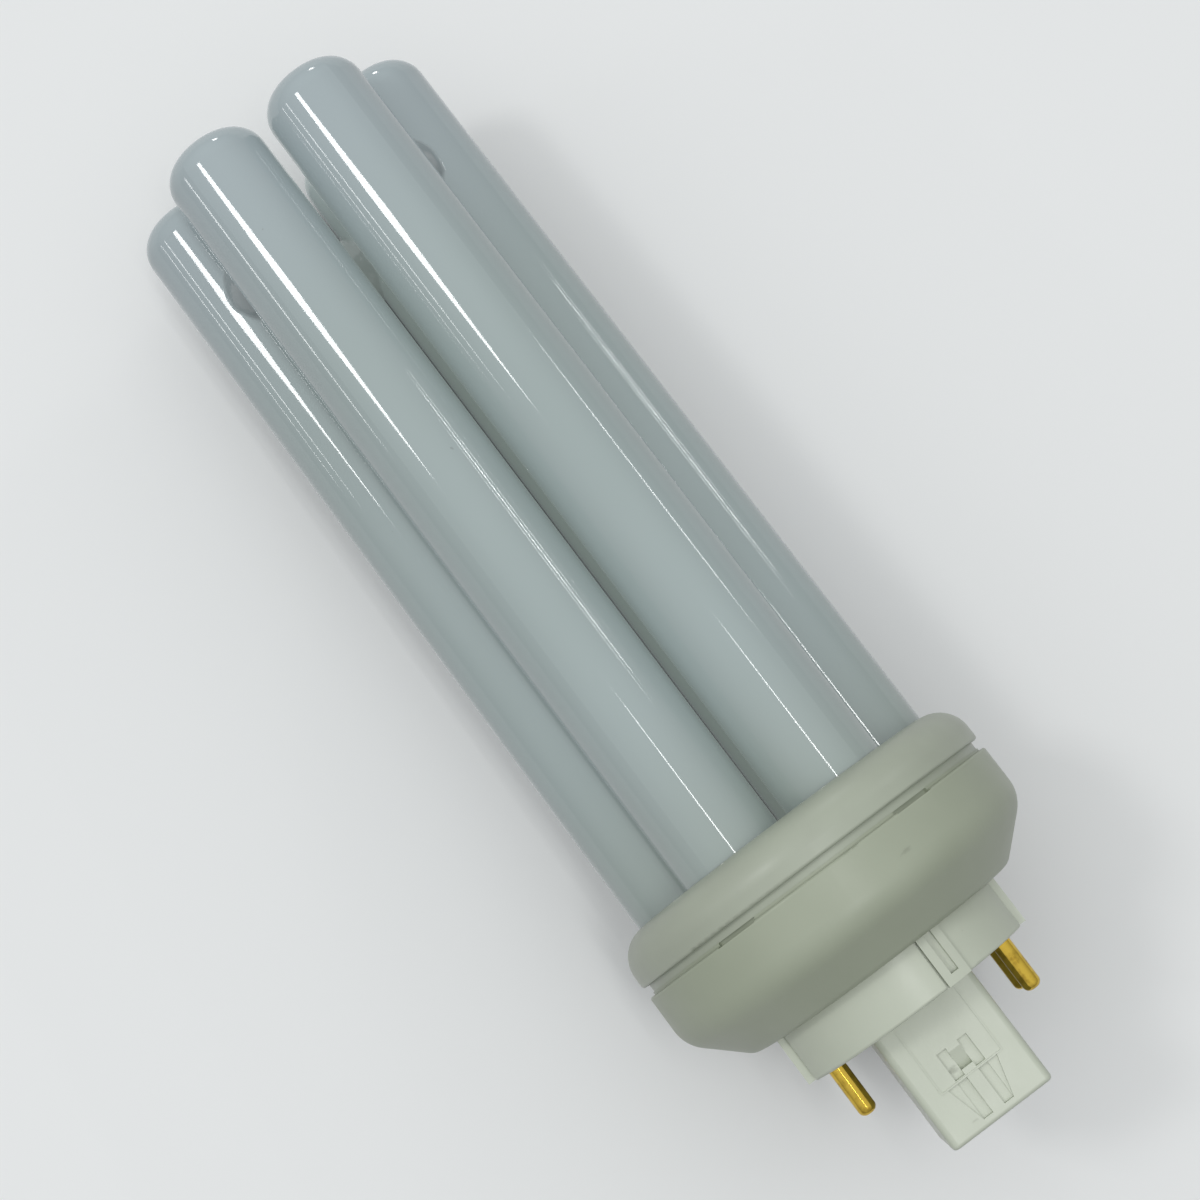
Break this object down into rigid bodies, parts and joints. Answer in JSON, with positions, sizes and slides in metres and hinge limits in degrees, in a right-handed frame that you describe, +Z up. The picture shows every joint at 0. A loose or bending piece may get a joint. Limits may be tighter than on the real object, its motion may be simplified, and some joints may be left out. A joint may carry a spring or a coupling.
{
  "type": "triple tube compact fluorescent lamp",
  "caption": "Plug-in compact fluorescent lamp: straight glass limbs joined in a ring, a round moulded cap and a plug with contact pins and a guide post.",
  "frame": {"origin": "middle of the part's footprint, on the surface that the lamp lies on", "axes": "+X along the lamp toward the plug, which is tilted up by about three degrees, +Z up"},
  "size_m": [0.1428, 0.0476, 0.048],
  "materials": {
    "coated_glass": "glossy clear glass over a white coating",
    "cap_plastic": "matte grey-white moulding",
    "plug_plastic": "matte off-white moulding",
    "sealing_compound": "white silicone compound",
    "pin_brass": "bright brass",
    "lead_metal": "nickel-plated wire"
  },
  "bodies": {
    "root": {"discharge_tube": "coated_glass", "collar_ring": "cap_plastic", "tube_cement": "sealing_compound", "cap_shell": "cap_plastic", "plug_base": "plug_plastic", "contact_pin_1": "pin_brass", "contact_pin_2": "pin_brass", "contact_pin_3": "pin_brass", "contact_pin_4": "pin_brass", "lead_wire_1": "lead_metal", "lead_wire_2": "lead_metal", "lead_wire_3": "lead_metal", "lead_wire_4": "lead_metal"}
  },
  "joints": []
}
